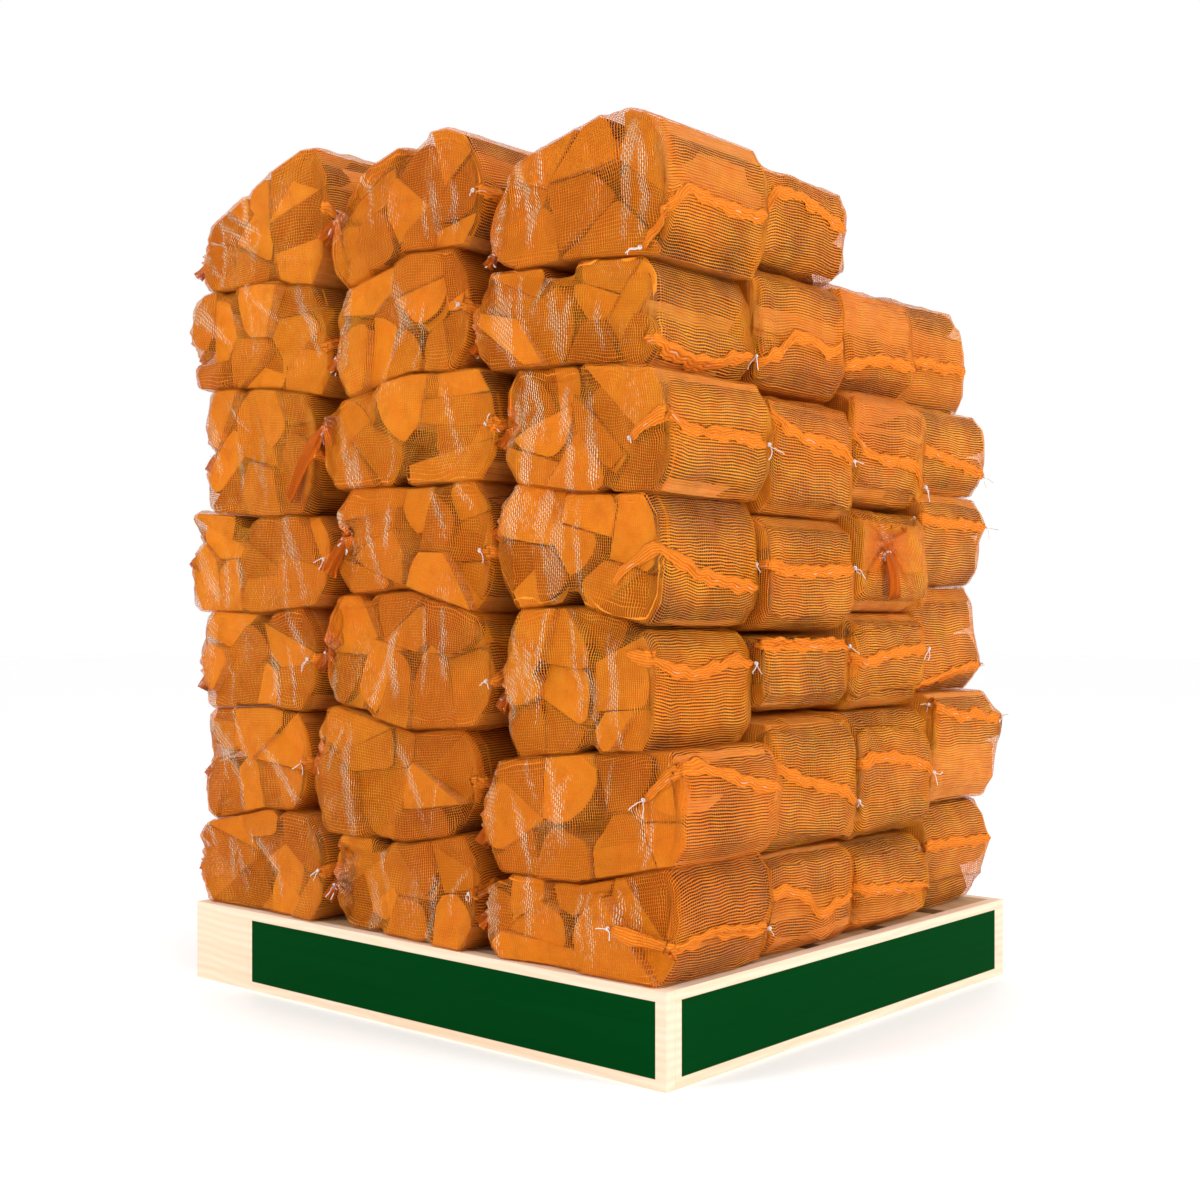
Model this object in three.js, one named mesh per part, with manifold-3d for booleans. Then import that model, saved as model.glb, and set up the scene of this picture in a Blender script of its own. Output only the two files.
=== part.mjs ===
// Pallet of kiln-dried beech logs: net sacks of split logs in seven layers on a boarded pallet.
// Millimetres, +Z up. The origin is the middle of the pallet's underside, the front is towards -Y.
// Each sack holds short split logs that lie along Y, so its front shows the log ends.

import * as THREE from 'three';
import { mergeVertices } from 'three/addons/utils/BufferGeometryUtils.js';
import Module from 'manifold-3d';

// Pallet
const PALLET_LENGTH = 1200;
const PALLET_DEPTH = 1080;
const BOARD_HEIGHT = 151;
const BOARD_THICKNESS = 22;
const DECK_BOARDS = 5;
const DECK_BOARD_WIDTH = 170;
const DECK_THICKNESS = 22;
const BEARER_WIDTH = 90;
const TOUCH_GAP = 0.3;

// Stack of sacks
const LAYERS = 7;
const SACK_GAP = 1.2;
const INNER_RADIUS = 44;
const OUTER_RADIUS = 32;
const INNER_SHOULDER = 0.2;
const OUTER_SHOULDER = 0.16;
const END_STEP = 14;
const FEWEST_LOGS = 8;
const LOG_COUNTS = 3;
const HIDDEN_LOGS = 6;
const STEP_STRIDE = 7;
const LOG_WEIGHT = 1500;
const SPLIT_SHARE = 0.42;
const CENTRE_ATTEMPTS = 14;
const CENTRE_MARGIN = 0.08;
const LOG_GAP = 4;
const LOG_OVERLAP = 0.6;
const GROOVE_DEPTH = 4;
const RIM_INSET = 4;

// Repeatable random numbers
const RANDOM_FACTOR = 48271;
const RANDOM_LIMIT = 2147483647;
const SEED_SPREAD = 69621;
const FRONT_SEEDS = [11, 47];
const RIGHT_SEEDS = [83, 101, 119, 137];
const BACK_SEEDS = [211, 257];

// Limits of the four rows, from the front row to the back row
const ROWS = [
  { front: -540, back: -270 },
  { front: -270, back: 0 },
  { front: 0, back: 265 },
  { front: 265, back: 530 },
];

// Columns of the front, from the left
const LEFT_COLUMN = { from: -600, to: -190 };
const MIDDLE_COLUMN = { from: -190, to: 215 };
const CORNER_COLUMN = { from: 215, to: 600 };

// Outermost x of each side of a sack, layer by layer from the bottom
const LEFT_SIDES = [-612, -610, -610, -650, -598, -636, -605];
const LEFT_MIDDLE_SIDES = [-205, -258, -232, -190, -225, -197, -205];
const MIDDLE_CORNER_SIDES = [195, 194, 235, 224, 232, 172, 204];
const HIDDEN_CORNER_SIDE = 214;
const PRESSED_SIDE = -206;
const PRESSED_OVERLAP = 14;
const SIDE_STAGGER = 9;

// Heights of the layer limits over the width of a column: left, right, and evenly between them
const LEFT_LEVELS = [
  [151, 151, 151],
  [310, 350, 348],
  [537, 547, 540],
  [732, 726, 745],
  [927, 909, 905],
  [1172, 1156, 1124],
  [1366, 1357, 1322],
  [1488, 1530, 1570, 1594, 1590],
];
const MIDDLE_LEVELS = [
  [151, 151, 151],
  [322, 321, 360],
  [553, 514, 534],
  [757, 766, 714],
  [952, 946, 947],
  [1112, 1144, 1134],
  [1306, 1356, 1341],
  [1470, 1530, 1556, 1554, 1508],
];
const CORNER_LEVELS = [
  [151, 151, 151],
  [293, 292, 337],
  [474, 499, 512],
  [727, 734, 696],
  [942, 914, 903],
  [1128, 1118, 1092],
  [1287, 1284, 1262],
  [1442, 1470, 1486, 1512, 1468],
];

// Rows of the right-hand column: heights, outermost x of the seam, and its share of the sack's height
const RIGHT_ROWS = [
  {
    name: 'sack_corner',
    levels: CORNER_LEVELS,
    seams: [617, 630, 577, 588, 609, 575, 606],
    seamShares: [0.36, 0.78, 0.69, 0.47, 0.53, 0.24, 0.46],
  },
  {
    name: 'sack_right_second',
    levels: flatLevels([151, 322, 558, 691, 885, 1094, 1300, 1478]),
    seams: [601, 602, 588, 600, 602, 578, 584],
    seamShares: [0.5, 0.55, 0.78, 0.58, 0.66, 0.4, 0.64],
  },
  {
    name: 'sack_right_third',
    levels: flatLevels([151, 313, 548, 726, 917, 1125, 1327]),
    seams: [592, 602, 588, 596, 590, 562],
    seamShares: [0.43, 0.57, 0.56, 0.5, 0.42, 0.32],
  },
  {
    name: 'sack_right_back',
    levels: flatLevels([151, 362, 572, 778, 958, 1124, 1345]),
    seams: [586, 605, 557, 577, 577, 532],
    seamShares: [0.6, 0.78, 0.24, 0.7, 0.4, 0.45],
  },
];

const NET_COLOUR = '#e08428';
const FRESH_BOARD_COLOUR = '#e9d3b4';
const PALLET_COLOUR = '#b99467';

const wasm = await Module();
wasm.setup();

function flatLevels(heights) {
  return heights.map((height) => [height, height, height]);
}

// A source of repeatable random numbers from 0 to 1
function makeRandom(seed) {
  let state = seed * SEED_SPREAD;
  return () => {
    state = (state * RANDOM_FACTOR) % RANDOM_LIMIT;
    return state / RANDOM_LIMIT;
  };
}

// Height of a layer limit at x, in a column that reaches from column.from to column.to
function heightAt(level, column, x) {
  const share = THREE.MathUtils.clamp((x - column.from) / (column.to - column.from), 0, 1);
  const place = share * (level.length - 1);
  const step = Math.min(Math.floor(place), level.length - 2);
  return THREE.MathUtils.lerp(level[step], level[step + 1], place - step);
}

// The layer limit from x = start to x = end, with its bends, moved up by lift
function limitPoints(level, column, start, end, lift) {
  const pitch = (column.to - column.from) / (level.length - 1);
  const bends = level.map((height, index) => column.from + index * pitch);
  const inner = bends.filter((x) => x > start + 1 && x < end - 1);
  return [start, ...inner, end].map((x) => [x, heightAt(level, column, x) + lift]);
}

// The sack's rounded outline in x and z, counter-clockwise as seen from the front
function sackOutline({ column, left, right, bottom, top, leftShare, rightShare }) {
  const leftIsOuter = column === LEFT_COLUMN;
  const rightIsOuter = column === CORNER_COLUMN;
  const start = left + (leftIsOuter ? OUTER_RADIUS : INNER_RADIUS);
  const end = right - (rightIsOuter ? OUTER_RADIUS : INNER_RADIUS);
  const side = (corner, nose, share, isOuter) => {
    const shoulderShare = isOuter ? OUTER_SHOULDER : INNER_SHOULDER;
    const inner = (corner + nose) / 2;
    const low = heightAt(bottom, column, inner) + SACK_GAP / 2;
    const high = heightAt(top, column, inner) - SACK_GAP / 2;
    const shoulder = THREE.MathUtils.lerp(nose, corner, 1 / 3);
    return [
      [shoulder, THREE.MathUtils.lerp(low, high, Math.min(shoulderShare, share / 2))],
      [nose, THREE.MathUtils.lerp(low, high, share)],
      [shoulder, THREE.MathUtils.lerp(low, high, Math.max(1 - shoulderShare, (share + 1) / 2))],
    ];
  };
  return [
    ...limitPoints(bottom, column, start, end, SACK_GAP / 2),
    ...side(end, right, rightShare, rightIsOuter),
    ...limitPoints(top, column, start, end, -SACK_GAP / 2).reverse(),
    ...side(start, left, leftShare, leftIsOuter).reverse(),
  ];
}

// Keeps the part of a polygon where across * x + up * z <= limit
function clipPolygon(polygon, across, up, limit) {
  const depth = ([x, z]) => across * x + up * z - limit;
  const kept = [];
  polygon.forEach((current, index) => {
    const next = polygon[(index + 1) % polygon.length];
    const here = depth(current);
    const there = depth(next);
    if (here <= 0) kept.push(current);
    if (here * there < 0) {
      const share = here / (here - there);
      kept.push(current.map((value, axis) => THREE.MathUtils.lerp(value, next[axis], share)));
    }
  });
  return kept;
}

// Centres of the log ends: each is the candidate that lies farthest from those already placed
function logCentres(box, count, random) {
  const centres = [];
  const between = (low, high) => THREE.MathUtils.lerp(low, high, CENTRE_MARGIN + (1 - 2 * CENTRE_MARGIN) * random());
  while (centres.length < count) {
    let best = null;
    let bestDistance = -1;
    for (let attempt = 0; attempt < CENTRE_ATTEMPTS; attempt += 1) {
      const x = between(box.left, box.right);
      const z = between(box.bottom, box.top);
      const distance = Math.min(...centres.map((other) => Math.hypot(other.x - x, other.z - z)), Infinity);
      if (distance > bestDistance) {
        best = { x, z, weight: LOG_WEIGHT * random() };
        bestDistance = distance;
      }
    }
    centres.push(best);
  }
  return centres;
}

function areaOf(polygon) {
  const crosses = polygon.map(([x, z], index) => {
    const [nextX, nextZ] = polygon[(index + 1) % polygon.length];
    return x * nextZ - nextX * z;
  });
  return crosses.reduce((sum, cross) => sum + cross, 0) / 2;
}

// The two parts of a polygon on either side of a line through its middle, as when a log is split
function splitInTwo(polygon, angle) {
  const [across, up] = [Math.cos(angle), Math.sin(angle)];
  const limit = polygon.reduce((sum, [x, z]) => sum + across * x + up * z, 0) / polygon.length;
  return [clipPolygon(polygon, across, up, limit), clipPolygon(polygon, -across, -up, -limit)];
}

// Parts a sack's box into one convex cell for each log end: round logs first, then the largest are split
function logCells(box, count, random) {
  const splits = Math.floor(count * SPLIT_SHARE);
  const centres = logCentres(box, count - splits, random);
  const square = ({ x, z, weight }) => x * x + z * z - weight;
  let cells = centres.map((centre) => {
    let cell = [
      [box.left, box.bottom],
      [box.right, box.bottom],
      [box.right, box.top],
      [box.left, box.top],
    ];
    centres.filter((other) => other !== centre).forEach((other) => {
      const limit = (square(other) - square(centre)) / 2;
      cell = clipPolygon(cell, other.x - centre.x, other.z - centre.z, limit);
    });
    return cell;
  });
  for (let split = 0; split < splits; split += 1) {
    cells.sort((a, b) => areaOf(b) - areaOf(a));
    const [largest, ...others] = cells;
    cells = [...others, ...splitInTwo(largest, Math.PI * random())];
  }
  return cells;
}

function toManifold(geometry) {
  geometry.deleteAttribute('normal');
  geometry.deleteAttribute('uv');
  const merged = mergeVertices(geometry, 1e-4);
  const mesh = new wasm.Mesh({
    numProp: 3,
    vertProperties: Float32Array.from(merged.attributes.position.array),
    triVerts: Uint32Array.from(merged.index.array),
  });
  return new wasm.Manifold(mesh);
}

function toGeometry(solid) {
  const { vertProperties, triVerts } = solid.getMesh();
  const geometry = new THREE.BufferGeometry();
  geometry.setAttribute('position', new THREE.BufferAttribute(vertProperties, 3));
  geometry.setIndex(new THREE.BufferAttribute(triVerts, 1));
  geometry.computeVertexNormals();
  return geometry;
}

// A solid with the outline given in x and z, from front to back along y
function prism(outline, front, back) {
  const shape = new THREE.Shape(outline.map(([x, z]) => new THREE.Vector2(x, z)));
  const geometry = new THREE.ExtrudeGeometry(shape, { depth: back - front, bevelEnabled: false });
  geometry.rotateX(Math.PI / 2);
  geometry.translate(0, back, 0);
  return toManifold(geometry);
}

function boundsOf(outline) {
  const xs = outline.map(([x]) => x);
  const zs = outline.map(([, z]) => z);
  return { left: Math.min(...xs), right: Math.max(...xs), bottom: Math.min(...zs), top: Math.max(...zs) };
}

// The polygon with its corners drawn in towards its centre
function drawnIn(polygon, distance) {
  const centre = [0, 1].map((axis) => polygon.reduce((sum, point) => sum + point[axis], 0) / polygon.length);
  return polygon.map((point) => {
    const reach = Math.hypot(point[0] - centre[0], point[1] - centre[1]);
    return point.map((value, axis) => THREE.MathUtils.lerp(value, centre[axis], distance / reach));
  });
}

// One filled sack. Log ends stand out by different steps at the front or the back, with grooves between them.
function sackSolid(shape, row, { logs = 0, stepsAt = 'none', grooves = false, seed = 1 }) {
  const outline = sackOutline(shape);
  const front = row.front + SACK_GAP / 2;
  const back = row.back - SACK_GAP / 2;
  if (stepsAt === 'none') return prism(outline, front, back);
  const atFront = stepsAt === 'front';
  const cells = logCells(boundsOf(outline), logs, makeRandom(seed));
  const logSolids = cells.map((cell, index) => {
    const step = (END_STEP * ((index * STEP_STRIDE) % logs)) / logs;
    const end = drawnIn(cell, grooves ? LOG_GAP : -LOG_OVERLAP);
    return prism(end, atFront ? front + step : front, atFront ? back : back - step);
  });
  const logsSolid = wasm.Manifold.union(logSolids);
  if (!grooves) return prism(outline, front, back).intersect(logsSolid);
  const coreFront = front + END_STEP + GROOVE_DEPTH;
  const ends = prism(drawnIn(outline, RIM_INSET), front, coreFront + RIM_INSET).intersect(logsSolid);
  return ends.add(prism(outline, coreFront, back));
}

function addPiece(group, name, geometry, material) {
  const mesh = new THREE.Mesh(geometry, material.clone());
  mesh.name = name;
  group.add(mesh);
  return mesh;
}

function addBoard(group, name, size, position, material) {
  addPiece(group, name, new THREE.BoxGeometry(...size), material).position.set(...position);
}

// Four upright boards round a deck on three bearers
function buildPallet() {
  const pallet = new THREE.Group();
  const freshWood = new THREE.MeshStandardMaterial({ color: FRESH_BOARD_COLOUR, roughness: 0.7, metalness: 0 });
  const palletWood = new THREE.MeshStandardMaterial({ color: PALLET_COLOUR, roughness: 0.85, metalness: 0 });

  const longSize = [PALLET_LENGTH, BOARD_THICKNESS, BOARD_HEIGHT];
  const longOffset = (PALLET_DEPTH - BOARD_THICKNESS) / 2;
  addBoard(pallet, 'front_board', longSize, [0, -longOffset, BOARD_HEIGHT / 2], freshWood);
  addBoard(pallet, 'back_board', longSize, [0, longOffset, BOARD_HEIGHT / 2], freshWood);

  const innerDepth = PALLET_DEPTH - 2 * BOARD_THICKNESS - 2 * TOUCH_GAP;
  const shortSize = [BOARD_THICKNESS, innerDepth, BOARD_HEIGHT];
  const shortOffset = (PALLET_LENGTH - BOARD_THICKNESS) / 2;
  addBoard(pallet, 'right_board', shortSize, [shortOffset, 0, BOARD_HEIGHT / 2], freshWood);
  addBoard(pallet, 'left_board', shortSize, [-shortOffset, 0, BOARD_HEIGHT / 2], freshWood);

  const deckSize = [PALLET_LENGTH - 2 * BOARD_THICKNESS - 2 * TOUCH_GAP, DECK_BOARD_WIDTH, DECK_THICKNESS];
  const deckPitch = (innerDepth - DECK_BOARD_WIDTH) / (DECK_BOARDS - 1);
  const deckHeight = BOARD_HEIGHT - DECK_THICKNESS / 2;
  for (let board = 0; board < DECK_BOARDS; board += 1) {
    const y = (board - (DECK_BOARDS - 1) / 2) * deckPitch;
    addBoard(pallet, `deck_board_${board + 1}`, deckSize, [0, y, deckHeight], palletWood);
  }

  const bearerHeight = BOARD_HEIGHT - DECK_THICKNESS - TOUCH_GAP;
  const bearerOffset = deckSize[0] / 2 - BEARER_WIDTH / 2;
  ['left', 'middle', 'right'].forEach((side, index) => {
    const x = (index - 1) * bearerOffset;
    addBoard(pallet, `bearer_${side}`, [BEARER_WIDTH, innerDepth, bearerHeight], [x, 0, bearerHeight / 2], palletWood);
  });
  return pallet;
}

// The three columns of the front row
function buildFrontSacks(net) {
  const sacks = new THREE.Group();
  const columns = [
    {
      name: 'sack_front_left',
      column: LEFT_COLUMN,
      levels: LEFT_LEVELS,
      lefts: LEFT_SIDES,
      rights: LEFT_MIDDLE_SIDES,
      seed: FRONT_SEEDS[0],
    },
    {
      name: 'sack_front_middle',
      column: MIDDLE_COLUMN,
      levels: MIDDLE_LEVELS,
      lefts: LEFT_MIDDLE_SIDES,
      rights: MIDDLE_CORNER_SIDES,
      seed: FRONT_SEEDS[1],
    },
  ];
  columns.forEach(({ name, column, levels, lefts, rights, seed }) => {
    for (let layer = 0; layer < LAYERS; layer += 1) {
      const shape = {
        column,
        left: lefts[layer] + SACK_GAP / 2,
        right: rights[layer] - SACK_GAP / 2,
        bottom: levels[layer],
        top: levels[layer + 1],
        leftShare: 0.5,
        rightShare: 0.5,
      };
      const logs = FEWEST_LOGS + ((layer + seed) % LOG_COUNTS);
      const solid = sackSolid(shape, ROWS[0], { logs, stepsAt: 'front', grooves: true, seed: seed + layer });
      addPiece(sacks, `${name}_${layer + 1}`, toGeometry(solid), net);
    }
  });
  return sacks;
}

// The right-hand column, row by row, with the sacks' seams towards +X
function buildRightSacks(net) {
  const sacks = new THREE.Group();
  RIGHT_ROWS.forEach(({ name, levels, seams, seamShares }, row) => {
    seams.forEach((seam, layer) => {
      const left = row === 0 ? MIDDLE_CORNER_SIDES[layer] : HIDDEN_CORNER_SIDE;
      const shape = {
        column: CORNER_COLUMN,
        left: left + SACK_GAP / 2,
        right: seam,
        bottom: levels[layer],
        top: levels[layer + 1],
        leftShare: 0.5,
        rightShare: seamShares[layer],
      };
      const sides = ['front', 'none', 'none', 'back'];
      const logs = FEWEST_LOGS + ((layer + row) % LOG_COUNTS);
      const ends = { logs, stepsAt: sides[row], grooves: row === 0, seed: RIGHT_SEEDS[row] + layer };
      const solid = sackSolid(shape, ROWS[row], ends);
      addPiece(sacks, `${name}_${layer + 1}`, toGeometry(solid), net);
    });
  });
  return sacks;
}

// The sacks behind the front row in the left and middle columns, pressed together in each layer
function buildBackSacks(net) {
  const sacks = new THREE.Group();
  const columns = [
    {
      column: LEFT_COLUMN,
      levels: LEFT_LEVELS,
      left: (layer, row) => LEFT_SIDES[layer] + SIDE_STAGGER * ((layer + row) % 3),
      right: () => PRESSED_SIDE + PRESSED_OVERLAP,
    },
    {
      column: MIDDLE_COLUMN,
      levels: MIDDLE_LEVELS,
      left: () => PRESSED_SIDE - PRESSED_OVERLAP,
      right: () => HIDDEN_CORNER_SIDE - SACK_GAP / 2,
    },
  ];
  for (let layer = 0; layer < LAYERS; layer += 1) {
    const topLayer = layer === LAYERS - 1;
    const rows = topLayer ? [1] : [1, 2, 3];
    const solids = rows.flatMap((row) => columns.map(({ column, levels, left, right }, place) => {
      const shape = {
        column,
        left: left(layer, row),
        right: right(),
        bottom: levels[layer],
        top: levels[layer + 1],
        leftShare: 0.5,
        rightShare: 0.5,
      };
      const pressed = { front: ROWS[row].front - (row > 1 ? 2 * SACK_GAP : 0), back: ROWS[row].back };
      const stepsAt = row === 3 ? 'back' : 'none';
      return sackSolid(shape, pressed, { logs: HIDDEN_LOGS, stepsAt, seed: BACK_SEEDS[place] + layer });
    }));
    addPiece(sacks, `back_sacks_layer_${layer + 1}`, toGeometry(wasm.Manifold.union(solids)), net);
  }
  return sacks;
}

function buildStack() {
  const net = new THREE.MeshStandardMaterial({ color: NET_COLOUR, roughness: 0.55, metalness: 0 });
  const stack = new THREE.Group();
  stack.add(buildPallet(), buildFrontSacks(net), buildRightSacks(net), buildBackSacks(net));
  return stack;
}

export default buildStack();
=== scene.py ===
import math
from collections import namedtuple

import bpy
import numpy as np
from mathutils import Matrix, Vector
from mathutils.bvhtree import BVHTree


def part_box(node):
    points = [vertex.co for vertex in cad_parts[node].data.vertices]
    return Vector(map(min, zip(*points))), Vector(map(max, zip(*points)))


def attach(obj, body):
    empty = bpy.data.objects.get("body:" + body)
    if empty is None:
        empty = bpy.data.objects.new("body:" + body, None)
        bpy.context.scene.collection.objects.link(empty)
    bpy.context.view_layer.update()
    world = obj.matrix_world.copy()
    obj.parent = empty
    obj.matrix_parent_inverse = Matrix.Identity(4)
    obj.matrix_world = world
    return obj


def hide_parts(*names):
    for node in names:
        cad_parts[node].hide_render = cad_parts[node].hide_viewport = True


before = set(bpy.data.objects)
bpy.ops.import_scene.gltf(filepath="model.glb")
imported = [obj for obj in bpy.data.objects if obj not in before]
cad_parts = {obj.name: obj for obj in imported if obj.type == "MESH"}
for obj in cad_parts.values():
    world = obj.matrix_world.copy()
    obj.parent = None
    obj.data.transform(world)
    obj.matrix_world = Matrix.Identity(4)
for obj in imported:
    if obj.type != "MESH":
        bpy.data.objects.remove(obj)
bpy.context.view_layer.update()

MM = 0.001

# Stack: the two left columns' nodes, with hidden sacks behind them, and the right side's nodes by row
LAYERS = 7
LEFT_COLUMNS = ["sack_front_left", "sack_front_middle"]
ROWS = ["sack_corner", "sack_right_second", "sack_right_third", "sack_right_back"]
MOUTH_OUT = "right_third_4"
TOP_SACKS = {"right_third_6", "right_back_6"}
ROW_MARGIN = 0.1

# Reading the solids
WELD = 0.01 * MM
LEVEL_STEP = 0.1 * MM
SMALLEST_END = 60 * MM * MM

# Logs
BARK_ROUGHNESS = 1.3 * MM
LOG_BEND = 2.5 * MM
FRONT_ROW_END = -0.3
FRONT_LOG_GAP = -2.2 * MM
BACK_LOG_GAP = 1.5 * MM
GAP_SPREAD = 2.5 * MM
END_SPREAD = 12 * MM
SIDE_SPREAD = 10 * MM
OUTER_SHARE = 0.27
BARK_OUT_SHARE = 0.76
FACET_DEPTH = 13 * MM
FACET_TILT = 0.22
FULLNESS = 0.85
FAR = 10.0
END_TILT = 0.08
SACK_LEAN = 0.04
WEDGE_LIMIT = 1.9
WEDGE_SHARE = 0.8
HALF_SHARE = 0.75
KEPT_SHARE = 0.3
WEDGE_ROUND, HALF_ROUND, WHOLE_ROUND = 0.38, 0.4, 0.45
BARK_SLACK = 14 * MM
LEAST_REACH = 8 * MM
FAR_END_GAP = 4 * MM
FAR_END_SPREAD = 10 * MM
EDGE_INSET = 1.2 * MM
LEAN_OFFSET = 2 * MM

# Net
NET_OFFSET = 2.6 * MM
CAST_START = 50 * MM
NET_SINK = 26 * MM
NET_SLOPE = 2.0 * MM
CAST_PAST = 60 * MM
USUAL_HALF_HEIGHT = 100 * MM
CORNER_POWER = 9
CROWDING = 0.8
CAP_LENGTH = 44 * MM
SMOOTH_ROUNDS = 26
SEAM_STRETCH = 0.95
FOLD_DEPTH = 6 * MM
FOLD_REACH = 80 * MM
FOLD_SWAY = 60 * MM
SEAM_FOLD_START = 30 * MM
SEAM_FOLD_BAND = 40 * MM
PUCKER_DEPTH = 2.2 * MM
PUCKER_REACH = 22 * MM
SEAM_RIDGE = 5 * MM
SEAM_RIDGE_REACH = 20 * MM
TAIL_LENGTH = 34 * MM
TAIL_STEP = 11 * MM
TAIL_NEAR = 8 * MM
MOUTH_RISE = 18 * MM
NECK = 11 * MM
NECK_RADIUS = 5 * MM
PLEAT_DEPTH = 2.2 * MM
# Streaks and patches where white glints are painted on the net; the streaks also raise low ridges
STREAK_WIDTH = 8 * MM
STREAK_RIDGE = 1.4 * MM
SHINE_PATCH = 0.24
SHINE_PATCH_SIZE = 130 * MM
SHINE_DEPTH = 30 * MM
SHINE_BLUR = 25 * MM
LOCAL_SHARE = 0.85
TIE_SHINE_REACH = 28 * MM
CREASE_BOW = 9 * MM
LARGE_CRUMPLE, LARGE_CRUMPLE_DEPTH = 50 * MM, 2 * MM
SMALL_CRUMPLE, SMALL_CRUMPLE_DEPTH = 17 * MM, 0.6 * MM
FREE_ROOM = 5 * MM

TAPE_PITCH = 4.2 * MM
CHAIN_PITCH = 4.6 * MM
# Spacing of the painted white glint dashes along each tape
PAINTED_GLINT_PITCH = 8.8 * MM

# How far the threads stray from even rows: the size and the depth of each kind of wave
TAPE_WAVES = (75 * MM, 1.6 * MM), (22 * MM, 0.8 * MM)
CHAIN_WAVES = ((90 * MM, 2.5 * MM),)

# Seam band and draw string
SEAM_HALF_WIDTH = 11 * MM
SEAM_STEP = 2.6 * MM
SEAM_TAPER = 14 * MM
SEAM_RIPPLE = 6 * MM
SEAM_SWELL = 13 * MM
SEAM_ROUGHNESS = 0.5 * MM
RUFFLE_PITCH = 1.9 * MM
RUFFLE_SWAY = 11 * MM
RUFFLE_WIDTH, RUFFLE_HEIGHT = 0.8 * MM, 1.6 * MM
EAR_START = 10 * MM
SEAM_INSET = 8 * MM
SEAM_CAST_START = 40 * MM
SEAM_CAST_REACH = 75 * MM
STITCH_PITCH = 2.6 * MM
STITCH_OFFSET = 3 * MM
STITCH_EDGE = 0.6 * MM, 1.4 * MM
KNIT_PITCH = 4.4 * MM
STRING_RADIUS = 1.0 * MM
STRING_TURN = 4.5 * MM
STRING_CLIMB = 0.4 * MM
KNOT_RADIUS = 3 * MM
KNOT_HEIGHT = 4 * MM
THREAD_STEP = 3 * MM
KNOTTED_SHARE = 0.6

# How far each seam band lies above its sack's widest line, in mm at even steps from front to back
SEAM_RISES = {
    "corner_7": (-30, 10, 4, 0, 0, 8),
    "corner_6": (0, -15, -22, -20, -4, 5),
    "corner_5": (20, 0, -2, 0, -4, -8),
    "corner_4": (24, 4, -16, -24, -30, -34),
    "corner_3": (9, -10, -17, -7, 4, -5),
    "corner_2": (12, 16, 1, -14, -26, -34),
    "corner_1": (-9, 0, 9, 2, -4, -6),
    "right_second_7": (-35, 10, 14, 4, -10, -16),
    "right_second_6": (-43, -22, 14, 14, 0, 22),
    "right_second_5": (35, 5, -8, -8, -16, -36),
    "right_second_4": (0, -10, -11, -9, -7, -2),
    "right_second_3": (8, 10, 7, 8, 9, 5),
    "right_second_2": (28, 4, -12, -24, -34, -60),
    "right_second_1": (20, 26, 12, -28, -14, -8),
    "right_third_6": (-30, -18, -6, 0, 0, -4),
    "right_third_5": (40, 8, -2, -2, -2, -44),
    "right_third_3": (-5, -12, 0, 6, 9, 11),
    "right_third_2": (10, 20, 18, 10, -2, -20),
    "right_third_1": (18, 9, 4, 0, -6, -12),
    "right_back_6": (-6, -12, -8, -12, -6, -8),
    "right_back_5": (14, 8, 0, -8, -16, -22),
    "right_back_4": (0, -2, -4, -2, -4, -6),
    "right_back_3": (-40, -33, -22, -12, -4, 0),
    "right_back_2": (28, 12, 0, 6, -8, -4),
    "right_back_1": (4, 4, 4, 0, -2, 0),
}
OTHER_RISE = 7

# How far a corner sack's seam band turns onto the front and how far it rises there, in mm
EARS = {
    "corner_7": (57, -54),
    "corner_6": (12, 0),
    "corner_5": (75, -36),
    "corner_4": (88, -52),
    "corner_3": (50, 8),
    "corner_2": (73, -50),
    "corner_1": (120, 22),
}


def random_for(*words):
    """A random source that is the same on each run for the same words."""
    number = 0
    for letter in "/".join(str(word) for word in words):
        number = (number * 131 + ord(letter)) % 4294967291
    return np.random.default_rng(number)


def length(vectors):
    """The length of a vector, or of each one in an array."""
    return np.linalg.norm(vectors, axis=-1)


def unit(vectors):
    """A vector, or each one in an array, brought to length 1."""
    return vectors / length(vectors)[..., None].clip(1e-12)


def sideways(way, other):
    """Two ways at right angles to the way and to each other."""
    across = unit(np.cross(way, other))
    return across, np.cross(way, across)


def circling(angles, way, other):
    """Points at the angles on a circle of radius 1 round the way."""
    across, up = sideways(way, other)
    return np.outer(np.cos(angles), across) + np.outer(np.sin(angles), up)


# Reading the frame

def welded(node):
    """The node's points with doubles joined, and its triangles."""
    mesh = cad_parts[node].data
    points = np.empty(len(mesh.vertices) * 3)
    mesh.vertices.foreach_get("co", points)
    points = points.reshape(-1, 3)
    mesh.calc_loop_triangles()
    corners = np.empty(len(mesh.loop_triangles) * 3, int)
    mesh.loop_triangles.foreach_get("vertices", corners)
    _, first, index = np.unique((points / WELD).round().astype(int), axis=0, return_index=True,
                                return_inverse=True)
    return points[first], index.reshape(-1)[corners].reshape(-1, 3)


def loops_of(triangles):
    """The closed outlines of a flat patch of triangles, as lists of point numbers."""
    edges = {(a, b) for t in triangles.tolist() for a, b in ((t[0], t[1]), (t[1], t[2]), (t[2], t[0]))}
    after = {}
    for a, b in sorted(edges):
        if (b, a) not in edges:
            after.setdefault(a, []).append(b)
    loops = []
    while after:
        start = next(iter(after))
        loop = [start]
        while True:
            following = after[loop[-1]]
            step = following.pop()
            if not following:
                del after[loop[-1]]
            if step == start:
                break
            loop.append(step)
        loops.append(loop)
    return loops


def signed_area(loop):
    x, z = loop[:, 0], loop[:, 1]
    return 0.5 * float((x * np.roll(z, -1) - z * np.roll(x, -1)).sum())


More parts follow.
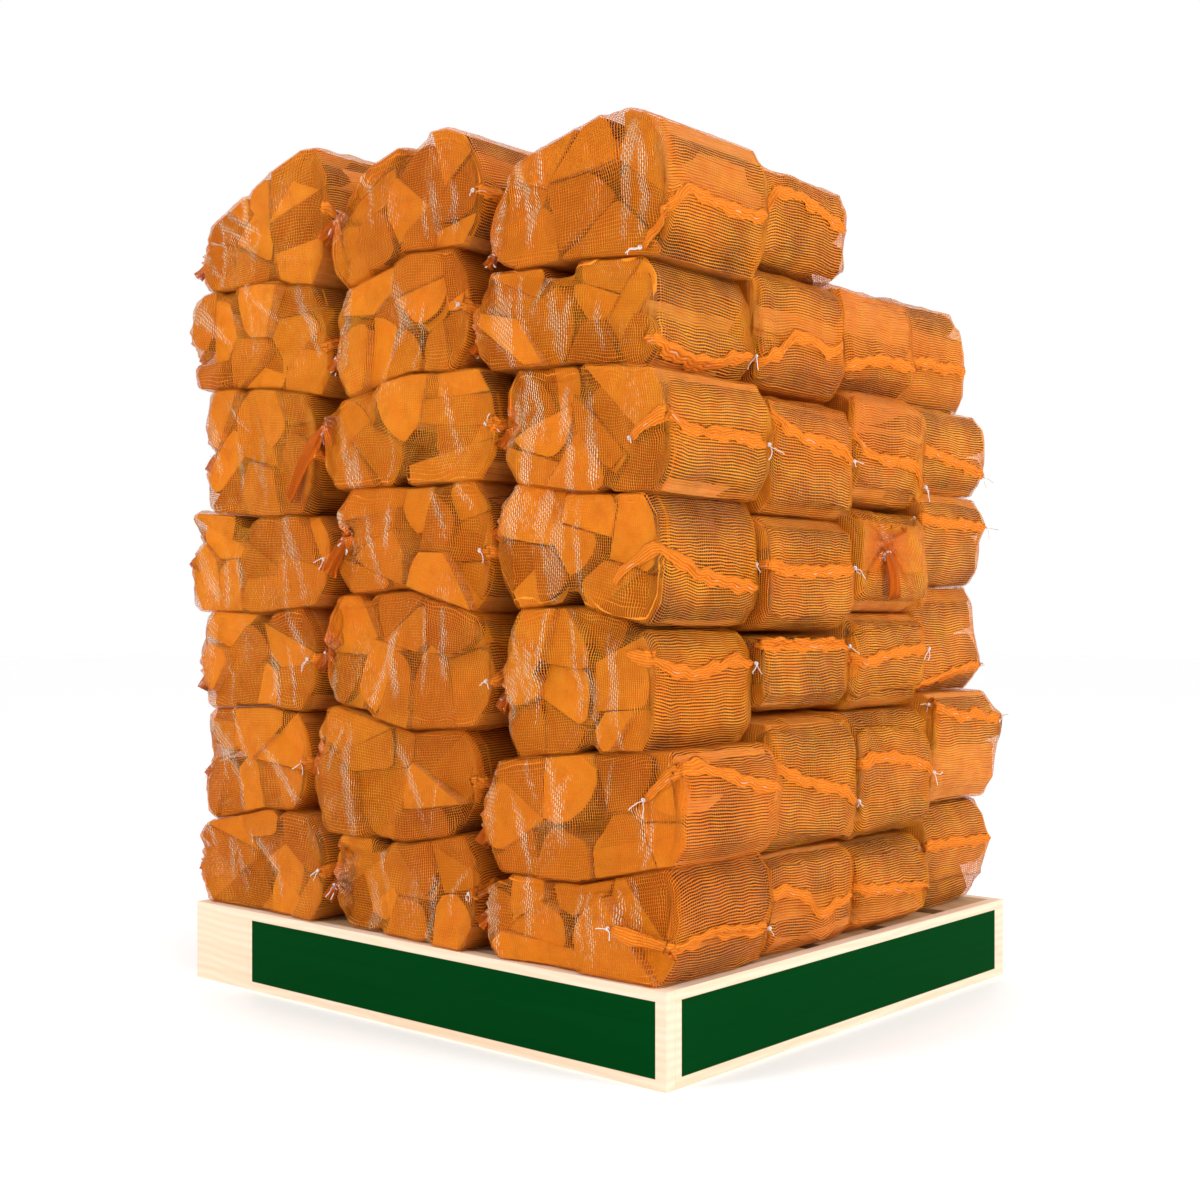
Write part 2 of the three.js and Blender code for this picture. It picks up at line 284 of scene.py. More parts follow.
def end_faces(node, side):
    """The node's flat faces that look along y to side, -1 or 1, and the holes in them, largest first.

    Each is (y, outline in x and z).
    """
    points, triangles = welded(node)
    a, b, c = (points[triangles[:, k]] for k in range(3))
    normals = unit(np.cross(b - a, c - a))
    chosen = triangles[normals[:, 1] * side > 0.999]
    levels = (points[chosen[:, 0], 1] / LEVEL_STEP).round().astype(int)
    faces = []
    for level in np.unique(levels):
        for loop in loops_of(chosen[levels == level]):
            outline = points[loop][:, [0, 2]]
            area = signed_area(outline)
            if abs(area) > SMALLEST_END:
                faces.append((level * LEVEL_STEP, outline if area > 0 else outline[::-1]))
    return sorted(faces, key=lambda face: -abs(signed_area(face[1])))


class Sack:
    """Where one sack is: its outline in x and z, its limits in y, and its log ends as (y, outline).

    Its log ends are at its front where ends_at is -1 and at its back where it is 1.
    """

    def __init__(self, name, outline, low, high, ends, ends_at):
        self.name = name
        self.outline = outline
        self.low, self.high = low, high
        self.ends = ends
        self.ends_at = ends_at
        first, last = int(outline[:, 0].argmin()), int(outline[:, 0].argmax())
        turned = np.roll(outline, -first, axis=0)
        split = (last - first) % len(outline)
        self.under = turned[:split + 1]
        self.over = np.concatenate([turned[split:], turned[:1]])[::-1]
        self.left, self.nose_left = turned[0].tolist()
        self.right, self.nose_right = turned[split].tolist()
        self.middle = (self.left + self.right) / 2
        self.width, self.height = self.right - self.left, float(np.ptp(outline[:, 1]))
        self.is_top = name in TOP_SACKS

    def bottom(self, x):
        return np.interp(x, self.under[:, 0], self.under[:, 1])

    def top(self, x):
        return np.interp(x, self.over[:, 0], self.over[:, 1])


def boxed(outline):
    """The outline in a box from -1 to 1, with the box's middle and half size."""
    low, high = outline.min(0), outline.max(0)
    middle, half = (low + high) / 2, (high - low) / 2
    return (outline - middle) / half, middle, half


def fuller(outline):
    """The outline with its rounded corners moved most of the way out to the corners of its box."""
    place, middle, half = boxed(outline)
    size = (np.abs(place) ** 8).sum(1) ** (1 / 8)
    return middle + place * half * (1 - FULLNESS + FULLNESS / size)[:, None]


def reaches(middle, ways, outline):
    """How far it is from the middle to the outline along each way."""
    start = outline - middle
    edge = np.roll(outline, -1, axis=0) - outline
    across = ways[:, None, 0] * edge[None, :, 1] - ways[:, None, 1] * edge[None, :, 0]
    across = np.where(np.abs(across) < 1e-9, 1e-9, across)
    far = (start[:, 0] * edge[:, 1] - start[:, 1] * edge[:, 0])[None, :] / across
    share = (start[None, :, 0] * ways[:, None, 1] - start[None, :, 1] * ways[:, None, 0]) / across
    hit = (share > -0.001) & (share < 1.001) & (far > 0)
    return np.where(hit, far, FAR).min(1)


def fitted(source, target, low_y, flip_x, flip_z):
    """A sack's log ends moved to another outline whose front is at low_y, and mirrored in it."""
    flips = [-1 if flip_x else 1, -1 if flip_z else 1]
    own, middle, half = boxed(source.outline)
    new, new_middle, new_half = boxed(target)
    moved = []
    for y, outline in source.ends:
        place = (outline - middle) / half * flips
        ways = unit(place)
        stretch = reaches(np.zeros(2), ways, new) / reaches(np.zeros(2), ways, own * flips)
        outline = new_middle + place * stretch[:, None] * new_half
        moved.append((y - source.low + low_y, outline if signed_area(outline) > 0 else outline[::-1]))
    return moved


def visible_sacks():
    """The sacks that have a node each, by node name."""
    sacks = {}
    for column in LEFT_COLUMNS + ROWS:
        for layer in range(1, LAYERS + 1):
            node = f"{column}_{layer}"
            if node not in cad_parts:
                continue
            low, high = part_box(node)
            at_back = column == ROWS[-1]
            stepped = 1 if at_back else -1
            outline = end_faces(node, -stepped)[0][1]
            if at_back:
                ends = end_faces(node, 1)
            elif column in ROWS[1:]:
                outline = fuller(outline)
                flips = column == ROWS[2], layer % 2 == 0
                ends = fitted(sacks[f"sack_corner_{layer}"], outline, low.y, *flips)
            else:
                # A raised log end and its hole in the flat front both count, so these logs lie in pairs
                ends = end_faces(node, -1)[1:]
            sacks[node] = Sack(node.replace("sack_", ""), outline, low.y, high.y, ends, stepped)
    return sacks


def ends_inside(ends, limits):
    """The log ends that are mostly inside the limits, with what lies outside them drawn in."""
    centre = limits.mean(0)
    found = []
    for y, outline in ends:
        far, ways = length(outline - centre), unit(outline - centre)
        inside = centre + ways * np.minimum(far, reaches(centre, ways, limits))[:, None]
        if signed_area(inside) > KEPT_SHARE * signed_area(outline):
            found.append((y, inside))
    return found


def hidden_sacks(sacks, layer):
    """The sacks that one back_sacks node stands for."""
    node = f"back_sacks_layer_{layer}"
    points, _ = welded(node)
    back_ends = end_faces(node, 1)
    found = []
    for row in range(1, len(ROWS)):
        if f"{ROWS[row]}_{layer}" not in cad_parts:
            continue
        low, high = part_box(f"{ROWS[row]}_{layer}")
        if low.y > points[:, 1].max() - ROW_MARGIN:
            continue
        for column in LEFT_COLUMNS:
            source = sacks[f"{column}_{layer}"]
            outline = source.outline
            ends = fitted(source, outline, low.y, row == 2, row == 1)
            ends_at = -1
            if row == 3:
                ends, ends_at = ends_inside(back_ends, outline), 1
            name = f"back_{layer}_{row}_{column[-4:]}"
            found.append(Sack(name, outline, low.y, high.y, ends, ends_at))
    return found


# Mesh making

class Shape:
    """Points and faces of one or more surfaces, gathered until they become one mesh."""

    def __init__(self):
        self.points, self.faces, self.slots, self.facts = [], [], [], []
        self.count = 0

    def add(self, points, faces, slots, facts):
        """Faces are lists of point numbers, with a material number each. Points have four facts each."""
        self.points.append(np.asarray(points, float))
        self.facts.append(np.asarray(facts, float))
        self.faces.extend([number + self.count for number in face] for face in faces)
        self.slots.extend(slots)
        self.count += len(points)

    def add_grid(self, grid, facts):
        """A grid of rows by columns of points, joined to quads."""
        rows, columns = grid.shape[:2]
        number = np.arange(rows * columns).reshape(rows, columns)
        quads = np.stack([number[:-1, :-1], number[:-1, 1:], number[1:, 1:], number[1:, :-1]], axis=-1)
        faces = quads.reshape(-1, 4).tolist()
        self.add(grid.reshape(-1, 3), faces, [0] * len(faces), facts.reshape(-1, 4))

    def add_shape(self, other, mirrored):
        """Another shape's surfaces, mirrored in x if asked."""
        side = -1 if mirrored else 1
        faces = [face[::side] for face in other.faces]
        points = np.concatenate(other.points) * [side, 1, 1]
        self.add(points, faces, other.slots, np.concatenate(other.facts))

    def tree(self):
        """A tree for finding where a ray meets the shape."""
        return BVHTree.FromPolygons(np.concatenate(self.points).tolist(), self.faces)

    def mesh(self, name, materials, fact_name, flat):
        mesh = bpy.data.meshes.new(name)
        mesh.from_pydata(np.concatenate(self.points).tolist(), [], self.faces, shade_flat=flat)
        mesh.polygons.foreach_set("material_index", self.slots)
        facts = mesh.attributes.new(fact_name, "FLOAT_COLOR", "POINT")
        facts.data.foreach_set("color", np.concatenate(self.facts).reshape(-1))
        for material in materials:
            mesh.materials.append(material)
        mesh.validate()
        return mesh


def added(name, data):
    """A new object in the scene."""
    thing = bpy.data.objects.new(name, data)
    bpy.context.scene.collection.objects.link(thing)
    return thing


def place(mesh, slot):
    """A piece of the object with the mesh's name, riding on its one body."""
    piece = added(mesh.name, mesh)
    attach(piece, "root")
    return piece


# Logs

def corner_angles(outline):
    """The angle inside the outline at each of its corners."""
    before = np.roll(outline, 1, axis=0) - outline
    after = np.roll(outline, -1, axis=0) - outline
    lengths = length(before) * length(after)
    return np.arccos(((before * after).sum(1) / lengths).clip(-1, 1))


def log_section(outline, gap, outward, steps, random):
    """One split log's section: the ways from its middle, its reach along each and whether bark is there.

    A wedge has its pith at its sharpest corner, a half log on its longest side, a round log in its middle.
    Bark is where the tree's own round outside is nearer than the split sides. A log at the outside of its
    sack, which is the side that outward points to, has its bark or one flat split side there.
    """
    middle = outline.mean(0)
    after = np.roll(outline, -1, axis=0)
    sides = (outline + after) / 2
    angles = corner_angles(outline)
    kind = random.random()
    is_outer = bool(np.any(outward))
    bark_out = is_outer and random.random() < BARK_OUT_SHARE
    if bark_out:
        inward = (outline - middle) @ outward
        pith = middle + np.array(outward) * float(inward.min()) * (0.3 + 0.5 * random.random())
        round_share = 0
    elif angles.min() < WEDGE_LIMIT and kind < WEDGE_SHARE:
        pith = outline[int(angles.argmin())]
        round_share = WEDGE_ROUND
    elif random.random() < HALF_SHARE:
        pith = sides[int(length(after - outline).argmax())]
        round_share = HALF_ROUND
    else:
        pith = middle
        round_share = WHOLE_ROUND
    outermost = float(((outline - pith) @ outward).max())
    widest = float(length(outline - pith).max())
    side_reach = length(sides - pith)
    nearest = float(side_reach[side_reach > 0.5 * widest].min(initial=widest))
    radius = outermost if bark_out else nearest + (widest - nearest) * round_share
    offset = middle - pith
    corners = np.arctan2(*(outline - middle).T[::-1])
    angles = np.concatenate([corners, np.linspace(-math.pi, math.pi, steps, endpoint=False)])
    angles = np.unique(angles.round(2))
    ways = np.stack([np.cos(angles), np.sin(angles)], axis=1)
    reach = reaches(middle, ways, outline)
    half = ways @ offset
    room = (half * half - offset @ offset + radius * radius).clip(0)
    round_reach = (np.sqrt(room) - half).clip(LEAST_REACH)
    bark = round_reach < reach
    if bark_out:
        bark = bark | ((round_reach < reach + BARK_SLACK) & (ways @ outward > 0.1))
    if is_outer and not bark_out:
        turn = FACET_TILT * random.standard_normal()
        normal = np.array([outward[0] - turn * outward[1], outward[1] + turn * outward[0]])
        facet = float(((outline - middle) @ normal).max()) - FACET_DEPTH * random.random()
        facing = (ways @ normal).clip(1e-3)
        flat_reach = np.where(ways @ normal > 0.05, facet / facing, FAR)
        bark = bark & (round_reach < flat_reach)
        reach = np.minimum(reach, flat_reach)
    return middle, pith, ways, np.minimum(reach, round_reach) - gap - GAP_SPREAD * random.random(), bark


def add_log(shape, outline, start, end, gap, outward, drift, detail, random):
    """One split log along y from start to end, its two ends moved by drift in x and z.

    Material 0 is sawn ends, 1 split wood and 2 bark.
    """
    steps, ring_count = detail
    middle, pith, ways, reach, bark = log_section(outline, gap, outward, steps, random)
    count = len(ways)
    tilt = END_TILT * random.standard_normal((2, 2)).clip(-1.6, 1.6)
    bend = LOG_BEND * random.standard_normal(2)
    tint = random.random()
    roughness = np.where(bark, BARK_ROUGHNESS, BARK_ROUGHNESS / 3)
    rings = []
    for ring in range(ring_count):
        share = ring / (ring_count - 1)
        swell = 1 + 0.012 * random.standard_normal()
        rough = roughness * random.standard_normal(count).clip(-2, 1)
        if ring in (0, ring_count - 1):
            rough = rough / 3
        centre = middle + bend * math.sin(math.pi * share) + drift[0] * (1 - share) + drift[1] * share
        flat = centre + ways * (reach * swell + rough)[:, None]
        leaning = tilt[0] * (1 - share) + tilt[1] * share
        y = start + (end - start) * share + (flat - centre) @ leaning
        rings.append(np.stack([flat[:, 0], y, flat[:, 1]], axis=1))
    for at, inset in ((0, EDGE_INSET), (len(rings), -EDGE_INSET)):
        edge = rings[0 if at == 0 else -1]
        face = edge + (edge.mean(0) - edge) * [0.03, 0, 0.03]
        edge[:, 1] += inset
        rings.insert(at, face)
    grid = np.concatenate(rings)
    number = np.arange(len(grid)).reshape(-1, count)
    after = np.roll(number, -1, axis=1)
    quads = np.stack([number[:-1], number[1:], after[1:], after[:-1]], axis=-1).reshape(-1, 4)
    slots = np.tile(np.where(bark | np.roll(bark, -1), 2, 1), (len(rings) - 1, 1))
    slots[[0, -1]] = 0
    middles = np.full(count, len(grid))
    fans = np.stack([[middles, number[0], after[0]], [middles + 1, after[-1], number[-1]]])
    faces = quads.tolist() + fans.swapaxes(1, 2).reshape(-1, 3).tolist()
    points = np.concatenate([grid, [rings[0].mean(0), rings[-1].mean(0)]])
    same = np.ones(len(points))
    facts = np.stack([points[:, 0] - pith[0], points[:, 2] - pith[1], same * tint, same], axis=1)
    shape.add(points, faces, slots.reshape(-1).tolist() + [0] * 2 * count, facts)


def add_logs(shape, sack, detail):
    """All logs of one sack, and the faces that the net lies on."""
    random = random_for("logs", sack.name)
    centre = sack.outline.mean(0)
    span = sack.high - sack.low
    lean = SACK_LEAN * random.standard_normal(2)
    gap = FRONT_LOG_GAP if sack.ends_at < 0 else BACK_LOG_GAP
    for y, outline in sack.ends:
        middle = outline.mean(0)
        across, above = (middle - centre) / [sack.width, sack.height]
        outward = (0.0, 0.0)
        if abs(across) > OUTER_SHARE:
            outward = (math.copysign(1, across), 0.0)
        elif above > OUTER_SHARE and sack.is_top:
            outward = (0.0, 1.0)
        drift = -SIDE_SPREAD * np.outer(random.random(2) ** 1.5, outward)
        short = FAR_END_GAP + FAR_END_SPREAD * random.random()
        depth = min(abs(y - (sack.low if sack.ends_at < 0 else sack.high)), 0.1 * span)
        depth += END_SPREAD * random.random() ** 2 + max(0.0, float((middle - centre) @ lean) + LEAN_OFFSET)
        if sack.ends_at < 0:
            start, end = sack.low + depth + NET_OFFSET, sack.high - short
        else:
            start, end = sack.low + short, sack.high - depth - NET_OFFSET
        add_log(shape, outline, start, end, gap, outward, drift, detail, random)


# Nets

def crowded(count):
    """Numbers from -1 to 1, without the last, that are closer together near both ends."""
    even = np.linspace(0, 1, count, endpoint=False)
    return 2 * (even - CROWDING * np.sin(2 * math.pi * even) / (2 * math.pi)) - 1


def girth_places(front, over, back, under):
    """Places round a sack, y and z from -1 to 1: from the low back edge by the front and top to it again."""
    def side(count, even):
        return np.linspace(-1, 1, count, endpoint=False) if even else crowded(count)
    bottom = np.stack([-side(under, False), -np.ones(under)], axis=1)
    front_side = np.stack([-np.ones(front), side(front, front > back)], axis=1)
    top_side = np.stack([side(over, False), np.ones(over)], axis=1)
    back_side = np.stack([np.ones(back), -side(back, back > front)], axis=1)
    places = np.concatenate([bottom, front_side, top_side, back_side, bottom[:1]])
    size = (np.abs(places) ** CORNER_POWER).sum(1) ** (1 / CORNER_POWER)
    return places / size[:, None]


def seam_rise(sack, y):
    """How far the seam band lies above the sack's widest line at each y."""
    random = random_for("rise", sack.name)
    rises = np.array(SEAM_RISES.get(sack.name, OTHER_RISE * random.standard_normal(6)))
    ripple = 1.6 * np.sin(np.asarray(y) / SEAM_RIPPLE + 6 * random.random())
    last = len(rises) - 1
    place = ((np.asarray(y) - sack.low) / (sack.high - sack.low) * last).clip(0, last - 0.001)
    step = place.astype(int)
    share = place - step
    share = share * share * (3 - 2 * share)
    return MM * (rises[step] * (1 - share) + rises[step + 1] * share + ripple)


def net_rings(sack, places, counts, mouth):
    """Points and outward ways of the net's rough form, ring by ring from the mouth to the seam."""
    cap, body, seam = counts
    steep = np.sign(places) * np.abs(places) ** (CORNER_POWER - 1)
    way = unit(np.insert(steep / [(sack.high - sack.low) / 2, USUAL_HALF_HEIGHT], 0, 0, axis=1))
    start, end = sack.left + CAP_LENGTH, sack.right - CAP_LENGTH
    inner = np.linspace(sack.left, start, 20)
    height = (sack.top(inner) - sack.bottom(inner)) / (sack.top(start) - sack.bottom(start))
    rows = []
    for share in np.linspace(0.14, 1, cap, endpoint=False):
        rows.append((float(np.interp(share, height, inner)), share, -1))
    for x in np.linspace(start, end, body, endpoint=False):
        rows.append((float(x), 1, 0))
    for share in np.linspace(0, 1, seam):
        rows.append((end + CAP_LENGTH * math.sin(share * math.pi / 2), math.cos(share * math.pi / 2), 1))
    points, ways = [], []
    for x, open_share, side in rows:
        low, high = float(sack.bottom(x)), float(sack.top(x))
        near, far = sack.low, sack.high
        if side < 0:
            pulled = open_share ** 0.85
            near, far = mouth[1] + (near - mouth[1]) * pulled, mouth[1] + (far - mouth[1]) * pulled
            shift = (mouth[2] - sack.nose_left) * (1 - open_share)
            low, high = low + shift, high + shift
        y = (near + far) / 2 + (far - near) / 2 * places[:, 0]
        z = (low + high) / 2 + (high - low) / 2 * places[:, 1]
        if side > 0:
            z = z + seam_rise(sack, y) * (1 - open_share)
        points.append(np.stack([np.full(len(places), x), y, z], axis=1))
        ways.append(unit(way * open_share + np.array([side, 0, 0]) * (1.15 - open_share)))
    return np.array(points), np.array(ways)


def cast(points, ways, tree):
    """How far each point can move in, from outside the sack, before it lies on the logs."""
    starts = points + ways * CAST_START
    reach = np.full(points.shape[:2], CAST_START + NET_SINK)
    for place in np.ndindex(*reach.shape):
        hit = tree.ray_cast(Vector(starts[place]), Vector(-ways[place]), CAST_START + NET_SINK + CAST_PAST)
        if hit[0] is not None:
            reach[place] = hit[3] - NET_OFFSET
    return reach


def neighbours(values):
    """Each value's neighbours along the net and around it, where the last column is the first one again."""
    along = np.pad(values, ((1, 1), (0, 0)), mode="edge")
    around = np.concatenate([values[:, -2:-1], values, values[:, 1:2]], axis=1)
    return along[:-2], along[2:], around[:, :-2], around[:, 2:]


def draped(points, ways, tree):
    """The rough net let down on the logs: it lies on them and is drawn tight between them."""
    starts = points + ways * CAST_START
    reach = cast(points, ways, tree)
    for down, on in ((0, 1), (1, 0), (1, 1)):
        first = np.s_[: len(points) - down, : points.shape[1] - on]
        second = np.s_[down:, on:]
        way = unit(ways[first] + ways[second])
        between = cast((points[first] + points[second]) / 2, way, tree)
        reach[first] = np.minimum(reach[first], between)
        reach[second] = np.minimum(reach[second], between)
    reach[:, 0] = reach[:, -1] = np.minimum(reach[:, 0], reach[:, -1])
    for other in neighbours(reach):
        reach = np.minimum(reach, other + NET_SLOPE)
    depth = reach.copy()
    for _ in range(SMOOTH_ROUNDS):
        depth = np.minimum(reach, sum(neighbours(depth)) / 4)
        depth[:, -1] = depth[:, 0]
    return starts - ways * depth[..., None], reach - depth


def waves(points, size, random, count=5):
    """Smooth random numbers from about -1 to 1 over the points, with waves of about the given size."""
    total = np.zeros(points.shape[:-1])
    for _ in range(count):
        way = random.standard_normal(3)
        way *= 2 * math.pi / size / length(way) * (0.7 + 0.6 * random.random())
        total += np.sin(points @ way + 2 * math.pi * random.random())
    return total / math.sqrt(count / 2) / 1.6


def tail_rings(places, start, tie, first_radius, random):
    """Rings of the gathered mouth beyond the net's first ring, from its frayed end to the neck and back."""
    way = unit(tie.way)
    across, down = sideways(way, [0, -1, 0] if tie.share < 0.3 else [-1, 0, 0])
    angle = np.arctan2(places[:, 1], places[:, 0])
    loose = np.linspace(1, 0.3, max(4, int(tie.tail / TAIL_STEP)))
    profile = [(share * tie.tail, tie.near + (tie.far - tie.near) * share, tie.flat) for share in loose]
    profile += [(1.3 * NECK, NECK_RADIUS, 1), (NECK, NECK_RADIUS, 1), (0.5 * NECK, 0.45 * first_radius, 1)]
    phase = 2 * math.pi * random.random(2)
    rings = []
    for far, wide, flat in profile:
        share = min(1.0, far / tie.tail)
        width = wide * (1 + 0.12 * np.sin(5 * angle + phase[0] + 3 * share))
        pleat = PLEAT_DEPTH * share * np.sin(7 * np.cos(angle) + phase[1] + 2 * share)
        ragged = 0.14 * wide * random.standard_normal(len(places)) if share == 1.0 else 0
        centre = start + way * far + np.array([0.1 * math.sin(4 * share + phase[0]), 0, -0.2]) * far * share
        ring = np.outer(np.cos(angle) * width + ragged, across)
        ring -= np.outer(np.sin(angle) * width * flat + pleat, down)
        rings.append(centre + ring)
    rings = np.array(rings)
    rings[:, -1] = rings[:, 0]
    return rings, start + way * NECK * 1.15


def streaks_on(points, sack, from_tie, tie, random):
    """How much white glint is painted on the net at each point, which also makes its threads glossier and
    raises low ridges: in straight creases on the front, and round its tied mouth.
    """
    painted_glint_and_gloss = 0.75 * np.exp(-from_tie / TIE_SHINE_REACH)
    if sack.name == MOUTH_OUT:
        return 1.2 * painted_glint_and_gloss
    if sack.low > FRONT_ROW_END:
        return 0.3 * painted_glint_and_gloss
    flat = points[..., [0, 2]]
    on_front = ((sack.low + SHINE_DEPTH - points[..., 1]) / SHINE_BLUR).clip(0, 1)
    width, height = sack.width, sack.height
    painted_glint_and_gloss = painted_glint_and_gloss + on_front * (SHINE_PATCH * waves(points, SHINE_PATCH_SIZE, random)).clip(0, 0.6)
    for _ in range(tie.streaks):
        place = np.array([sack.left + width * (0.05 + 0.8 * random.random() ** 1.3),
                          sack.bottom(sack.middle) + height * (0.2 + 0.6 * random.random())])
        angle = math.radians(random.uniform(*tie.lean))
        way = np.array([math.cos(angle), math.sin(angle)])
        reach = height * random.uniform(0.2, 0.5)
        along = (flat - place) @ way
        bow = CREASE_BOW * random.standard_normal() * (along / reach) ** 2
        beside = (flat - place) @ np.array([-way[1], way[0]]) - bow
        inside = (1 - (along / reach) ** 2).clip(0, 1)
        thin = STREAK_WIDTH * random.uniform(0.5, 1.3)
        painted_glint_and_gloss = painted_glint_and_gloss + random.uniform(0.7, 1.3) * on_front * inside * np.exp(-(beside / thin) ** 2)
    return painted_glint_and_gloss.clip(0, 1)


def net_of(sack, tree, detail, tie):
    """The net of one sack: its grid, its thread places, and the neck where the string goes."""
    random = random_for("net", sack.name)
    places, counts = girth_places(*detail.girth), detail.rings
    mouth = np.array([sack.left, sack.low + (sack.high - sack.low) * tie.share, sack.nose_left + tie.rise])
    points, ways = net_rings(sack, places, counts, mouth)
    grid, room = draped(points, ways, tree)
    free = (room / FREE_ROOM).clip(0, 1)
    crumple = waves(points, LARGE_CRUMPLE, random) * (0.15 + free) * LARGE_CRUMPLE_DEPTH
    crumple += waves(points, SMALL_CRUMPLE, random) * (0.25 + free) * SMALL_CRUMPLE_DEPTH
    angle = np.arctan2(places[:, 1], places[:, 0])
    from_tie = length(points - mouth)
    fold = np.sin(19 * angle[None, :] + 2.2 * np.sin(from_tie / FOLD_SWAY) + 6 * random.random())
    crumple += tie.folds * (fold - 0.3) * np.exp(-from_tie / FOLD_REACH)
    corner = np.array([sack.right, sack.low, sack.nose_right])
    from_seam = length((points - corner) * [1, 0.6, 1])
    spread = np.arctan2(points[..., 2] - corner[2], corner[0] + SEAM_FOLD_START - points[..., 0])
    seam_fold = np.sin(9 * spread + 6 * random.random()) * (points[..., 1] < sack.low + SEAM_FOLD_BAND)
    crumple += 0.6 * FOLD_DEPTH * seam_fold * np.exp(-from_seam / FOLD_REACH)
    seam_way = np.abs(points[..., 2] - corner[2]) + np.abs(points[..., 0] - sack.right)
    pucker = PUCKER_DEPTH * np.sin(31 * angle[None, :] + 4 * np.sin(9 * angle))
    crumple += pucker * np.exp(-seam_way / PUCKER_REACH)
    seam_height = sack.nose_right + seam_rise(sack, points[..., 1])
    beside = np.abs(points[..., 2] - seam_height) / SEAM_HALF_WIDTH
    beside += (sack.right - points[..., 0]) / SEAM_RIDGE_REACH
    crumple += SEAM_RIDGE * np.exp(-beside)
    # Where white glints are painted on the threads; the same share raises low ridges here and makes the
    # threads glossier
    painted_glint_and_gloss = streaks_on(points, sack, from_tie, tie, random)
    crumple += STREAK_RIDGE * painted_glint_and_gloss
    crumple = np.maximum(crumple, -room - 0.2 * NET_OFFSET)
    crumple[:, -1] = crumple[:, 0]
    grid = grid + ways * crumple[..., None]
    first_middle = grid[0].mean(0)
    tail, neck = tail_rings(places, first_middle, tie, length(grid[0] - first_middle).mean(), random)
    grid = np.concatenate([tail, grid])
    grid[:, -1] = grid[:, 0]
    painted_glint_and_gloss = np.concatenate([np.full(tail.shape[:2], 0.1), painted_glint_and_gloss])
    steps = length(np.diff(grid, axis=0))
    steps = LOCAL_SHARE * steps + (1 - LOCAL_SHARE) * steps.mean(1)[:, None]
    steps[-counts[2]:] *= SEAM_STRETCH
    along = np.concatenate([np.zeros((1, grid.shape[1])), steps.cumsum(0)])
    middle = len(tail) + counts[0] + counts[1] // 2
    along -= along[middle][None, :]
    girths = length(np.diff(grid, axis=1))
    around = np.concatenate([[0], girths[middle].cumsum()])
    gather = girths.sum(1) / girths[middle].sum()
    facts = np.zeros((*grid.shape[:2], 4))
    for fact, even, kinds in ((0, along, TAPE_WAVES), (1, around[None, :], CHAIN_WAVES)):
        facts[..., fact] = even + sum(waves(grid, size, random) * depth for size, depth in kinds)
    facts[..., 2] = painted_glint_and_gloss
    facts[..., 3] = gather[:, None]
    return grid, facts, neck


# Seam bands and strings

def seam_path(sack, ear, step):
    """Points of the seam band and their outward ways: along y over the seam's side, then onto the front."""
    reach, rise = ear
    places = np.arange(sack.high - SEAM_INSET, sack.low + SEAM_INSET, -step)
    heights = sack.nose_right + seam_rise(sack, places)
    path = [((sack.right, y, z), (1.0, 0.0, 0.0)) for y, z in zip(places, heights)]
    z = heights[-1]
    for turn in np.linspace(0.15, 0.85, 5):
        angle = turn * math.pi / 2
        side = np.array([math.cos(angle), -math.sin(angle), 0.0])
        where = np.array([sack.right - SEAM_INSET, sack.low + SEAM_INSET, z]) + SEAM_INSET * side
        path.append((where, side))
    for far in np.arange(step, reach, step):
        where = (sack.right - EAR_START - far, sack.low, z + rise * (far / reach) ** 1.4)
        path.append((where, (0.0, -1.0, 0.0)))
    return path


def add_seam(shape, path, tree, random):
    """A knitted band with ruffled edges along the path on the net. Returns the (place, way) of its ends."""
    across = np.array([-1, -0.72, -0.4, -0.12, 0.12, 0.4, 0.72, 1, 0.5, -0.5])
    proud = np.array([0.8, 2.0, 3.4, 2.6, 2.6, 3.4, 2.0, 0.8, -1.5, -1.5]) * MM
    places = np.array([where for where, _ in path])
    travelled = np.concatenate([[0], length(np.diff(places, axis=0)).cumsum()])
    phase = 6 * random.random(3)
    rings, facts, ways = [], [], []
    for (where, way), far in zip(path, travelled):
        where, way = np.array(where), np.array(way)
        taper = min(1.0, 0.4 + 0.6 * min(far, travelled[-1] - far) / SEAM_TAPER)
        width = taper * SEAM_HALF_WIDTH * (1 + 0.2 * math.sin(far / SEAM_SWELL + phase[0]))
        ruffle = math.sin(far / RUFFLE_PITCH + phase[1] + 1.5 * math.sin(far / RUFFLE_SWAY))
        edge = across ** 2 * np.sign(across) * (ruffle + 0.7 * random.standard_normal(len(across)))
        bases = where + np.outer(width * across + RUFFLE_WIDTH * edge, [0, 0, 1])
        hits = [tree.ray_cast(Vector(base + way * SEAM_CAST_START), Vector(-way), SEAM_CAST_REACH)[0]
                for base in bases]
        sunk = [float((np.array(hit) - base) @ way) for hit, base in zip(hits, bases) if hit is not None]
        if not sunk:
            continue
        sunk += [sunk[-1]] * (len(across) - len(sunk))
        lift = np.array(sunk) + proud * taper + RUFFLE_HEIGHT * edge
        ring = bases + np.outer(lift, way) + SEAM_ROUGHNESS * random.standard_normal((len(across), 3))
        rings.append(np.concatenate([ring, ring[:1]]))
        facts.append([[far, share * width, phase[2], 1] for share in [*across, across[0]]])
        ways.append(way)
    rings = np.array(rings)
    for _ in range(2):
        rings[1:-1] = rings[1:-1] * 0.6 + (rings[:-2] + rings[2:]) * 0.2
    shape.add_grid(rings, np.array(facts))
    middles = rings[:, 3:5].mean(1)
    return (middles[0], ways[0]), (middles[-1], ways[-1])


def add_tube(shape, line, radius, sides=6):
    """A thin round tube along a line of points."""
    line = np.asarray(line, float)
    across, up = sideways(unit(np.gradient(line, axis=0)), [0.31, 0.17, 0.93])
    angle = np.linspace(0, 2 * math.pi, sides + 1)
    grid = line[:, None] + radius * (np.cos(angle)[None, :, None] * across[:, None]
                                     + np.sin(angle)[None, :, None] * up[:, None])
    shape.add_grid(grid, np.zeros((*grid.shape[:2], 4)))


